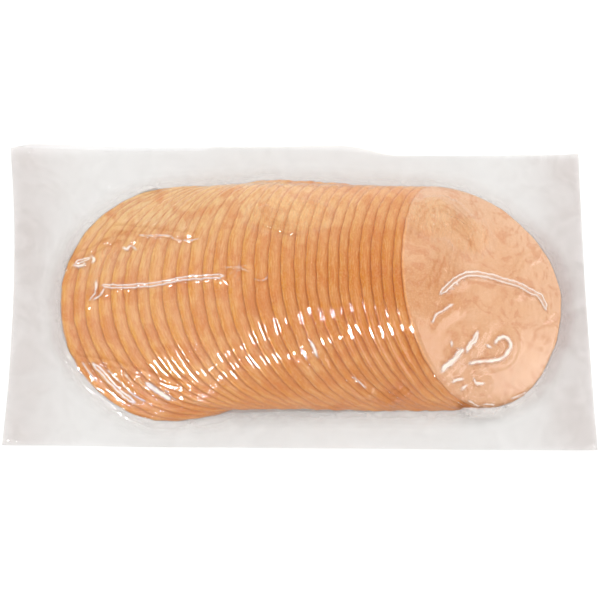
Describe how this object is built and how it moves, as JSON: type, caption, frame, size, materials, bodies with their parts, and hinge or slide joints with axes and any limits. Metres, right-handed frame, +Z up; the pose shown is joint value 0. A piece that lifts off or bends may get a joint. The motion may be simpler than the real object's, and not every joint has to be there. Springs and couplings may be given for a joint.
{
  "type": "pack of sliced ham",
  "caption": "Flat sealed clear film pack holding round cooked ham slices, shingled along it in a low domed fan, with a flat film margin all round.",
  "frame": {"origin": "on the ground under the middle of the film's outline", "axes": "+X along the pack, towards the slice that lies on top; +Y across it; +Z up"},
  "size_m": [0.283, 0.1504, 0.0332],
  "materials": {
    "film": "clear, glossy, faintly grey film",
    "ham": "moist cooked meat with a golden brown rind, glossy under the film"
  },
  "bodies": {
    "root": {"film_web": "film", "ham_slices": "ham"}
  },
  "joints": []
}
